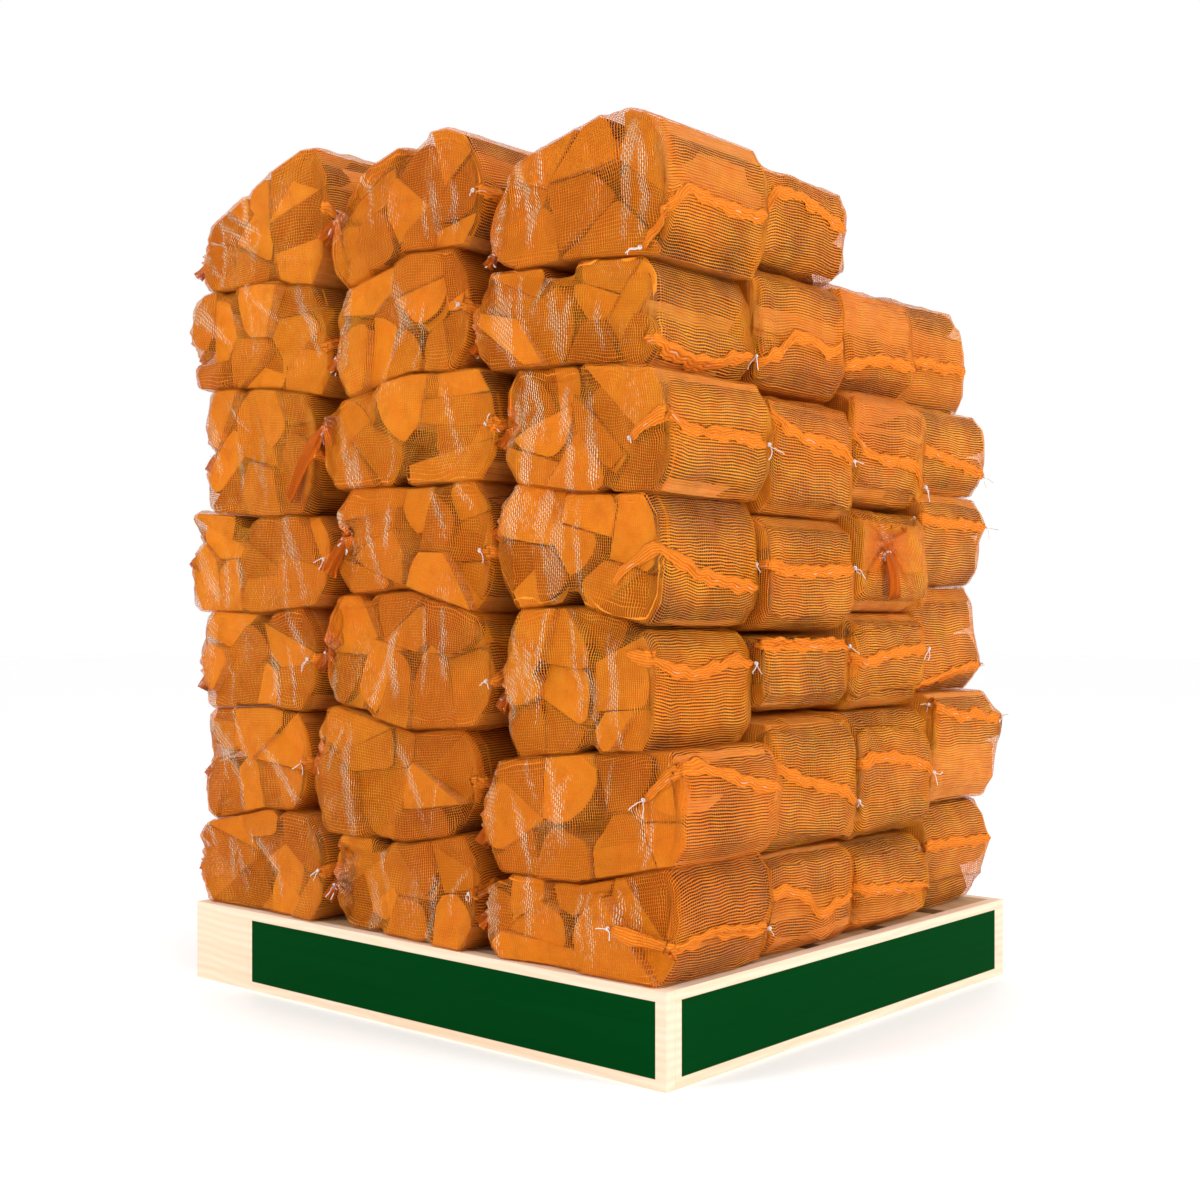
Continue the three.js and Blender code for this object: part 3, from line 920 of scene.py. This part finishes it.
def loose_end(start, step, count, random):
    """Points along a short hanging end of thread."""
    line = [start]
    for _ in range(count):
        step = step + 0.35 * random.standard_normal(3) + np.array([0, 0, -0.15])
        line.append(line[-1] + unit(step) * THREAD_STEP)
    return line


def add_knot(shape, where, way, ends, random):
    """A small knot of string with two loose ends."""
    for _ in range(3):
        loop = circling(np.linspace(0, 6.3, 9), unit(random.standard_normal(3)), way)
        add_tube(shape, where + KNOT_RADIUS * loop, STRING_RADIUS, 5)
    for _ in range(2):
        step = np.array(way) * 0.6 + 0.5 * random.standard_normal(3) + [0, 0, -0.4]
        add_tube(shape, loose_end(where, step, ends, random), STRING_RADIUS * 0.8, 5)


def add_seam_ends(shape, ends, random):
    """Knots of the seam's sewing thread at the ends of the band."""
    for where, way in ends:
        if random.random() < KNOTTED_SHARE:
            add_knot(shape, where + np.array(way) * KNOT_HEIGHT, way, 4 + int(7 * random.random()), random)


def add_string(shape, neck, way, random):
    """The draw string: two turns round the neck, a knot and two short ends."""
    way = unit(way)
    turns = np.linspace(0, 4.2 * math.pi, 30)
    coil = neck + STRING_TURN * circling(turns, way, [0.2, 0.3, 0.9]) + np.outer(STRING_CLIMB * turns, way)
    add_tube(shape, coil, STRING_RADIUS)
    for _ in range(2):
        step = way + np.array([0.3 * random.standard_normal(), -0.4, -0.5 + 0.4 * random.standard_normal()])
        add_tube(shape, loose_end(coil[-1], step, 9, random), STRING_RADIUS)
    add_knot(shape, coil[-1] + [0, -KNOT_RADIUS, 0], (0.0, -1.0, 0.0), 5, random)


# Materials

class Value:
    """What a node of a material gives. Adding values, multiplying them and so on makes further nodes."""

    def __init__(self, nodes, socket):
        self.nodes = nodes
        self.socket = socket

    def __add__(self, other):
        return self.nodes.math("ADD", self, other)

    def __sub__(self, other):
        return self.nodes.math("SUBTRACT", self, other)

    def __mul__(self, other):
        return self.nodes.math("MULTIPLY", self, other)

    def __truediv__(self, other):
        return self.nodes.math("DIVIDE", self, other)

    def range(self, low, high, new_low=0.0, new_high=1.0, smooth=False):
        """The value moved from its range to a new one, and kept inside that."""
        inputs = dict(enumerate((self, low, high, new_low, new_high)))
        kind = "SMOOTHSTEP" if smooth else "LINEAR"
        return self.nodes.add("ShaderNodeMapRange", inputs, interpolation_type=kind)

    def toward(self, other, share):
        """The colour with a share of another one in it."""
        return self.nodes.mix(share, self, other)


class Nodes:
    """Short calls for making a material's nodes."""

    def __init__(self, name):
        self.material = bpy.data.materials.new(name)
        self.material.use_nodes = True
        self.tree = self.material.node_tree
        self.tree.nodes.clear()
        self.place = self.add("ShaderNodeTexCoord", output="Object")

    def make(self, kind, inputs, **settings):
        """A new node. Its inputs are values of other nodes, which are linked, or numbers."""
        node = self.tree.nodes.new(kind)
        for key, value in settings.items():
            setattr(node, key, value)
        for key, value in inputs.items():
            if isinstance(value, Value):
                self.tree.links.new(value.socket, node.inputs[key])
            else:
                node.inputs[key].default_value = value
        return node

    def add(self, kind, inputs=None, output=0, **settings):
        """One output of a new node."""
        return Value(self, self.make(kind, inputs or {}, **settings).outputs[output])

    def math(self, operation, *values):
        return self.add("ShaderNodeMath", dict(enumerate(values)), operation=operation)

    def mix(self, share, *colours):
        """Two colours mixed by the share: each is a value, or red, green and blue from 0 to 255."""
        first, second = (linear_colour(*c) if isinstance(c, tuple) else c for c in colours)
        return self.add("ShaderNodeMix", {0: share, 6: first, 7: second}, 2, data_type="RGBA")

    def stretched(self, scale):
        return self.add("ShaderNodeMapping", {"Vector": self.place, "Scale": scale})

    def noise(self, scale, detail=3.0, roughness=0.55, distortion=0.0, stretch=None):
        """Soft spots from 0 to 1, finer with a larger scale, and drawn out where the stretch is small."""
        inputs = {"Scale": scale, "Detail": detail, "Roughness": roughness, "Distortion": distortion}
        inputs["Vector"] = self.stretched(stretch) if stretch else self.place
        return self.add("ShaderNodeTexNoise", inputs, "Fac")

    def cells(self, feature, scale, stretch):
        """The distance from the edges or the middles of cells."""
        inputs = {"Vector": self.stretched(stretch), "Scale": scale}
        return self.add("ShaderNodeTexVoronoi", inputs, "Distance", feature=feature)

    def facts(self, name):
        """The four numbers that the mesh keeps at each point."""
        outputs = self.make("ShaderNodeAttribute", {}, attribute_name=name).outputs
        return (*self.parts(Value(self, outputs["Vector"])), Value(self, outputs["Alpha"]))

    def parts(self, vector):
        return [Value(self, output) for output in self.make("ShaderNodeSeparateXYZ", {0: vector}).outputs]

    def bump(self, height, distance, strength=1.0):
        return self.add("ShaderNodeBump", {"Height": height, "Distance": distance, "Strength": strength})

    def surface(self, base, roughness, specular=0.5, normal=None):
        inputs = {"Base Color": base, "Roughness": roughness, "Specular IOR Level": specular}
        if normal:
            inputs["Normal"] = normal
        return self.add("ShaderNodeBsdfPrincipled", inputs)

    def finish(self, shader):
        self.make("ShaderNodeOutputMaterial", {"Surface": shader})
        return self.material


def linear_colour(*seen):
    """Linear colour from the 0 to 255 values that are seen on a screen."""
    shares = [value / 255 for value in seen]
    return (*(v / 12.92 if v <= 0.04045 else ((v + 0.055) / 1.055) ** 2.4 for v in shares), 1.0)


def end_grain_material():
    """Sawn log end: pale beech with faint growth rings, rays and saw marks."""
    n = Nodes("beech_end_grain")
    across, up, tint, _ = n.facts("grain")
    distance = n.math("SQRT", across * across + up * up)
    rings = n.math("SINE", distance * 1500.0 + n.noise(22.0) * 14.0)
    base = n.mix(tint, (138, 58, 2), (250, 156, 34))
    base = base.toward((172, 84, 14), rings.range(-1, 1, 0, 0.22))
    base = base.toward((160, 74, 12), n.noise(30.0, 5.0).range(0.5, 0.75, 0, 0.45))
    fine = n.noise(260.0, 2.0, stretch=(1.0, 1.0, 7.0))
    return n.finish(n.surface(base, 0.78, 0.08, n.bump(fine, 0.0012, 0.5)))


def split_wood_material():
    """Split side of a log: long fibres in pale and brown streaks."""
    n = Nodes("beech_split_side")
    fibres = n.noise(160.0, 5.0, 0.6, stretch=(1.0, 0.07, 1.0))
    patches = n.noise(24.0, stretch=(1.0, 0.3, 1.0))
    base = n.mix(n.facts("grain")[2], (168, 92, 38), (255, 176, 100))
    base = base.toward((140, 82, 40), fibres.range(0.35, 0.7, 0, 0.6))
    base = base.toward((128, 76, 44), patches.range(0.55, 0.7, 0, 0.4))
    return n.finish(n.surface(base, 0.8, 0.08, n.bump(fibres, 0.003, 0.7)))


def bark_material():
    """Beech bark: grey-brown, with pale lumps, dark patches and small cracks."""
    n = Nodes("beech_bark")
    lumps = n.noise(48.0, 6.0, 0.62, stretch=(1.0, 0.6, 1.0))
    cracks = n.cells("DISTANCE_TO_EDGE", 120.0, (1.0, 0.35, 1.0))
    base = n.mix(n.facts("grain")[2], (60, 40, 37), (100, 72, 64))
    base = base.toward((42, 25, 24), n.noise(14.0, 4.0).range(0.42, 0.66, 0, 0.8))
    base = base.toward((146, 110, 98), lumps.range(0.5, 0.75, 0, 0.6))
    base = base.toward((58, 38, 28), cracks.range(0.0, 0.05, 0.35, 0.0))
    height = lumps + cracks.range(0.0, 0.06, 0, 0.4)
    return n.finish(n.surface(base, 0.85, 0.08, n.bump(height, 0.004, 0.8)))


def net_material():
    """Knitted plastic net: flat tapes round the sack, tied together by thin lengthwise chains."""
    n = Nodes("orange_net")
    along, around, painted_glint_and_gloss, gather = n.facts("thread")
    fray = (n.noise(420.0, 1.0) - 0.5) * 0.2

    def from_middle(turns):
        """How far each turn is from its middle, from 0 to a half."""
        return n.math("ABSOLUTE", n.math("FRACT", turns) - 0.5)

    def comb(turns, width):
        """1 on the thread's middle, falling to 0 at its edge."""
        return n.math("SUBTRACT", 1.0, from_middle(turns) / (fray + width))

    tape_turns = along / TAPE_PITCH
    tape_width = n.noise(11.0, 2.0).range(0.35, 0.65, 0.13, 0.24) + gather.range(1.0, 0.75, 0.0, 0.1)
    tapes = comb(tape_turns, tape_width)
    chains = comb(around / CHAIN_PITCH, n.math("DIVIDE", 0.1, n.math("MAXIMUM", gather, 0.4)))
    both = n.math("MAXIMUM", tapes, chains)
    cover = both.range(-0.08, 0.12, 0.0, 0.94, smooth=True)
    base = n.mix(n.noise(34.0).range(0.35, 0.65), (255, 164, 38), (248, 138, 18))
    base = base.toward((240, 118, 6), n.noise(2.4, 1.0).range(0.4, 0.62, 0, 0.5))
    base = base.toward((255, 122, 6), gather.range(0.75, 0.3))
    # Painted shade: each thread darker towards its edges, as a round thread would be shaded
    base = base.toward((178, 66, 0), both.range(0.45, 0.05) * gather.range(0.2, 0.6, 0.5, 0.55))
    # Painted highlight: white glint dashes painted into the tapes' colour where the glint share from the
    # mesh is high
    tape_number = n.math("FLOOR", tape_turns)
    painted_glint_dashes = around / PAINTED_GLINT_PITCH + tape_number * 0.37
    cell = n.add("ShaderNodeCombineXYZ", {0: tape_number, 1: n.math("FLOOR", painted_glint_dashes)})
    chance = n.add("ShaderNodeTexWhiteNoise", {"Vector": cell}, "Value", noise_dimensions="2D")
    painted_glint = (painted_glint_and_gloss + chance * 0.5).range(0.55, 1.1) * tapes.range(0.05, 0.4)
    base = base.toward((255, 244, 206), painted_glint * from_middle(painted_glint_dashes).range(0.42, 0.3))
    normal = n.bump(both, 0.0011, 0.9)
    tape = n.surface(base, painted_glint_and_gloss.range(0.1, 0.7, 0.45, 0.25), 0.2, normal)
    glow = n.add("ShaderNodeBsdfTranslucent", {"Color": base, "Normal": normal})
    thread = n.add("ShaderNodeMixShader", {0: 0.15, 1: tape, 2: glow})
    hole = n.add("ShaderNodeBsdfTransparent")
    return n.finish(n.add("ShaderNodeMixShader", {0: cover, 1: hole, 2: thread}))


def seam_material():
    """Dense knitted seam band: rows of loops, fuzz and a broken white stitch line."""
    n = Nodes("orange_seam")
    along, across, _, _ = n.facts("thread")
    loops = n.math("SINE", along * (2 * math.pi / STITCH_PITCH))
    rows = n.math("SINE", across * (2 * math.pi / KNIT_PITCH))
    fuzz = n.noise(620.0, 3.0, 0.75)
    base = n.mix(fuzz.range(0.36, 0.64), (250, 122, 8), (255, 162, 50))
    base = base.toward((208, 74, 2), rows.range(-1, 0.0, 0.6, 0.0))
    near_middle = n.math("ABSOLUTE", across + STITCH_OFFSET).range(*STITCH_EDGE, 1, 0)
    stitch = near_middle * n.noise(38.0, 1.0).range(0.62, 0.66) * loops.range(-0.4, 0.2)
    base = base.toward((246, 222, 206), stitch * 0.8)
    return n.finish(n.surface(base, 0.8, 0.15, n.bump((loops + rows) * 0.3 + fuzz, 0.002)))


def string_material():
    n = Nodes("white_string")
    twist = n.noise(900.0, 1.0)
    base = n.mix(twist, (236, 230, 226), (206, 196, 190))
    return n.finish(n.surface(base, 0.55, normal=n.bump(twist, 0.0006, 0.6)))


def board_material(name, axis, side, low, high, stretch):
    """Pale planed board with a green panel on its outer face, between low and high along axis."""
    n = Nodes(name)
    x, y, z = n.parts(n.place)
    run, across = (x, y) if axis == 0 else (y, x)
    grain = n.noise(60.0, 6.0, 0.6, 0.6, stretch)
    bands = n.math("SINE", z * 420.0 + n.noise(3.0, 2.0) * 26.0)
    wood = n.mix(bands.range(-1, 1, 0, 0.5), (231, 209, 185), (223, 192, 162))
    wood = wood.toward((226, 186, 150), grain.range(0.5, 0.72, 0, 0.55))
    knots = n.cells("F1", 5.5, (1.0, 1.0, 1.6))
    wood = wood.toward((176, 120, 84), knots.range(0.045, 0.06, 0.8, 0.0, True))
    panel = n.math("GREATER_THAN", across * side, BOARD_FACE[axis])
    for value, start, end in ((run, low, high), (z, PANEL_LOW, PANEL_HIGH)):
        panel = panel * value.range(start - PANEL_BLUR, start + PANEL_BLUR)
        panel = panel * value.range(end - PANEL_BLUR, end + PANEL_BLUR, 1, 0)
    ink = n.mix(grain.range(0.4, 0.7, 0, 0.35), (0, 56, 17), (0, 48, 14))
    return n.finish(n.surface(wood.toward(ink, panel), 0.6, 0.01, n.bump(grain, 0.0012, 0.35)))


def rough_wood_material():
    """Sawn pallet wood, greyed and streaked along x."""
    n = Nodes("pallet_wood")
    grain = n.noise(90.0, 5.0, 0.6, stretch=(0.06, 1.0, 1.0))
    base = n.mix(grain, (150, 112, 74), (206, 166, 118))
    base = base.toward((132, 112, 92), n.noise(5.0).range(0.5, 0.7, 0, 0.6))
    return n.finish(n.surface(base, 0.85, normal=n.bump(grain, 0.002, 0.6)))


# Pallet

PANEL_LOW = 16.7 * MM
PANEL_HIGH = 134.2 * MM
PANEL_BLUR = 0.4 * MM
PANEL_MARGIN = 0.5 * MM
WORN_EDGE = 0.8 * MM
FRONT_PANEL = (-0.421, 0.579)
RIGHT_PANEL = (-0.5025, 0.505)
pallet_low, pallet_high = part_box("front_board")[0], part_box("back_board")[1]
BOARD_FACE = (-pallet_low.y - PANEL_MARGIN, pallet_high.x - PANEL_MARGIN)


def dress_pallet():
    along_x, along_y = (0.03, 1.0, 1.0), (1.0, 0.03, 1.0)
    looks = {
        "front_board": board_material("front_board_wood", 0, -1, *FRONT_PANEL, along_x),
        "back_board": board_material("back_board_wood", 0, 1, -FRONT_PANEL[1], -FRONT_PANEL[0], along_x),
        "right_board": board_material("right_board_wood", 1, 1, *RIGHT_PANEL, along_y),
        "left_board": board_material("left_board_wood", 1, -1, -RIGHT_PANEL[1], -RIGHT_PANEL[0], along_y),
    }
    rough = rough_wood_material()
    for node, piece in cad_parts.items():
        if node.startswith(("sack_", "back_sacks")):
            continue
        material = looks.get(node, rough)
        piece.data.materials.clear()
        piece.data.materials.append(material)
        bevel = piece.modifiers.new("worn_edges", "BEVEL")
        bevel.width = WORN_EDGE
        bevel.segments = 2


# Putting the sacks together

def mirrored(sack):
    """The same sack seen from behind: its mouth to the right."""
    ends = [(y, outline[::-1] * [-1, 1]) for y, outline in sack.ends]
    return Sack(sack.name, sack.outline[::-1] * [-1, 1], sack.low, sack.high, ends, sack.ends_at)


Detail = namedtuple("Detail", "girth rings logs seam_step")
FRONT_DETAIL = Detail((38, 14, 4, 10), (12, 62, 8), (16, 4), SEAM_STEP)
CORNER_DETAIL = Detail((38, 24, 4, 16), (12, 62, 20), (18, 5), SEAM_STEP)
RIGHT_DETAIL = Detail((8, 26, 8, 18), (4, 14, 24), (16, 4), SEAM_STEP)
MOUTH_OUT_DETAIL = Detail((12, 32, 12, 28), (26, 22, 4), (16, 4), SEAM_STEP)
BACK_DETAIL = Detail((6, 20, 26, 12), (6, 30, 18), (16, 4), SEAM_STEP)
BACK_HIDDEN_DETAIL = Detail((4, 8, 24, 4), (8, 30, 4), (12, 3), 3 * SEAM_STEP)
HIDDEN_DETAIL = Detail((5, 12, 5, 5), (10, 12, 4), (10, 2), 3 * SEAM_STEP)

# How a mouth is tied: its share of the sack's depth, its rise over the widest line, the way its tail hangs,
# the tail's length, half widths at the neck and the end and its flatness, the folds' depth, the number of
# streaks of painted glint on low ridges and how they lean in degrees. The table has lengths in mm and folds
# as shares of FOLD_DEPTH
Tie = namedtuple("Tie", "share rise way tail near far flat folds streaks lean")
STEEP = 60, 125
SLANTED = 95, 150
UPRIGHT = 75, 108
SPECIAL_TIES = {
    "front_middle_7": (0.02, 70, (-0.5, -0.3, -0.6), 48, 8, 15, 0.5, 1, 5, STEEP),
    "front_middle_5": (-0.03, 50, (-0.68, -0.14, -0.72), 150, 20, 11, 0.3, 1, 4, STEEP),
    "front_middle_4": (0.02, 20, (-0.35, -0.3, -0.85), 70, 9, 18, 0.4, 1, 5, STEEP),
    "right_third_4": (0.4, 30, (-0.3, -0.1, -0.95), 84, 8, 14, 0.7, 2.4, 0, STEEP),
}

# By the start of a sack's name: its detail, then its tie's share, way in x and y, folds, streaks and lean
COLUMNS = {
    "front_left": (FRONT_DETAIL, 0.12, (-0.25, -0.5), 1.3, 7, SLANTED),
    "front_middle": (FRONT_DETAIL, 0.03, (-0.4, -0.4), 1, 5, STEEP),
    "corner": (CORNER_DETAIL, 0.1, (-0.4, -0.4), 1, 9, UPRIGHT),
    "right": (RIGHT_DETAIL, 0.5, (-0.6, 0.0), 1, 0, STEEP),
    "back": (HIDDEN_DETAIL, 0.2, (-0.4, -0.1), 1, 0, STEEP),
}


def settings_for(sack):
    """The detail, the mouth's tie, and how far the seam turns onto the front and rises there."""
    random = random_for("settings", sack.name)
    tail = TAIL_LENGTH * (0.8 + 0.5 * random.random())
    widths = TAIL_NEAR, tail * (0.3 + 0.15 * random.random()), 0.5
    rise = MOUTH_RISE * random.standard_normal()
    drop = -0.5 - 0.5 * random.random()
    column = next(start for start in COLUMNS if sack.name.startswith(start))
    detail, share, way, folds, streaks, lean = COLUMNS[column]
    tie = Tie(share, rise, (*way, drop), tail, *widths, folds * FOLD_DEPTH, streaks, lean)
    if sack.name in SPECIAL_TIES:
        share, rise, way, *sizes, flat, folds, streaks, lean = SPECIAL_TIES[sack.name]
        sizes = [size * MM for size in sizes]
        tie = Tie(share, rise * MM, way, *sizes, flat, folds * FOLD_DEPTH, streaks, lean)
    if sack.name == MOUTH_OUT:
        detail = MOUTH_OUT_DETAIL
    elif sack.ends_at > 0:
        detail = BACK_HIDDEN_DETAIL if column == "back" else BACK_DETAIL
    reach, rise = EARS.get(sack.name, (12, 0))
    return detail, tie, (reach * MM, rise * MM)


def dressed_sack(sack, shapes):
    """Adds one sack's logs, net, seam band and string to the shapes."""
    detail, tie, ear = settings_for(sack)
    turned = sack.name == MOUTH_OUT
    if turned:
        sack = mirrored(sack)
    random = random_for("sack", sack.name)
    made = {kind: Shape() for kind in shapes}
    add_logs(made["logs"], sack, detail.logs)
    grid, facts, neck = net_of(sack, made["logs"].tree(), detail, tie)
    made["net"].add_grid(grid, facts)
    ends = add_seam(made["seam"], seam_path(sack, ear, detail.seam_step), made["net"].tree(), random)
    add_string(made["string"], neck, tie.way, random)
    add_seam_ends(made["string"], ends, random)
    for kind, shape in made.items():
        shapes[kind].add_shape(shape, turned)


SLOTS = {"logs": "log_wood", "net": "sack_net", "seam": "sack_net", "string": "tie_string"}


def make_pieces(name, sacks, nodes, looks):
    """The four pieces of one sack, or of the sacks that share a node."""
    shapes = {kind: Shape() for kind in SLOTS}
    for sack in sacks:
        dressed_sack(sack, shapes)
    for kind, slot in SLOTS.items():
        is_wood = kind == "logs"
        mesh = shapes[kind].mesh(f"{kind}_{name}", looks[kind], "grain" if is_wood else "thread", is_wood)
        place(mesh, slot)
    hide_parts(*nodes)


def build_stack():
    looks = {
        "logs": [end_grain_material(), split_wood_material(), bark_material()],
        "net": [net_material()],
        "seam": [seam_material()],
        "string": [string_material()],
    }
    sacks = visible_sacks()
    for node, sack in sacks.items():
        make_pieces(sack.name, [sack], [node], looks)
    for layer in range(1, LAYERS + 1):
        make_pieces(f"back_layer_{layer}", hidden_sacks(sacks, layer), [f"back_sacks_layer_{layer}"], looks)


# Studio

CAMERA_PLACE = (2.097, -2.402, 0.705)
CAMERA_TURN = 41.18
CAMERA_LENS = 47.73
CAMERA_SHIFT = 23.6 / 1200
FLOOR_REACH = 30


def add_light(name, where, target, size, power):
    light = bpy.data.lights.new(name, "AREA")
    light.size = size
    light.energy = power
    lamp = added(name, light)
    lamp.location = where
    lamp.rotation_euler = (Vector(target) - Vector(where)).to_track_quat("-Z", "Y").to_euler()


def build_studio():
    scene = bpy.context.scene
    camera_data = bpy.data.cameras.new("camera")
    camera_data.sensor_width = 36
    camera_data.lens = CAMERA_LENS
    camera_data.shift_y = CAMERA_SHIFT
    camera = added("camera", camera_data)
    camera.location = CAMERA_PLACE
    camera.rotation_euler = (math.radians(90), 0, math.radians(CAMERA_TURN))
    scene.camera = camera

    world = bpy.data.worlds.new("studio")
    world.use_nodes = True
    background = world.node_tree.nodes["Background"]
    background.inputs[0].default_value = (1, 1, 1, 1)
    background.inputs[1].default_value = 1.0
    scene.world = world

    floor_shape = bpy.data.meshes.new("floor")
    sides = (-1, -1), (1, -1), (1, 1), (-1, 1)
    floor_shape.from_pydata([(FLOOR_REACH * x, FLOOR_REACH * y, 0) for x, y in sides], [], [(0, 1, 2, 3)])
    floor = added("floor", floor_shape)
    n = Nodes("pale_floor")
    base = n.mix(n.noise(8.0), (255, 255, 255), (253, 253, 253))
    floor_shape.materials.append(n.finish(n.surface(base, 0.6)))

    add_light("key", (-0.9, -4.2, 2.6), (0, -0.4, 0.8), 0.9, 75)
    add_light("right", (4.4, 0.2, 2.2), (0.4, 0, 0.8), 1.0, 94)
    add_light("over", (0.5, -0.5, 4.2), (0, 0, 1), 1.6, 22)
    scene.view_settings.view_transform = "Standard"
    scene.view_settings.look = "None"
    scene.view_settings.exposure = 0


build_studio()
dress_pallet()
build_stack()
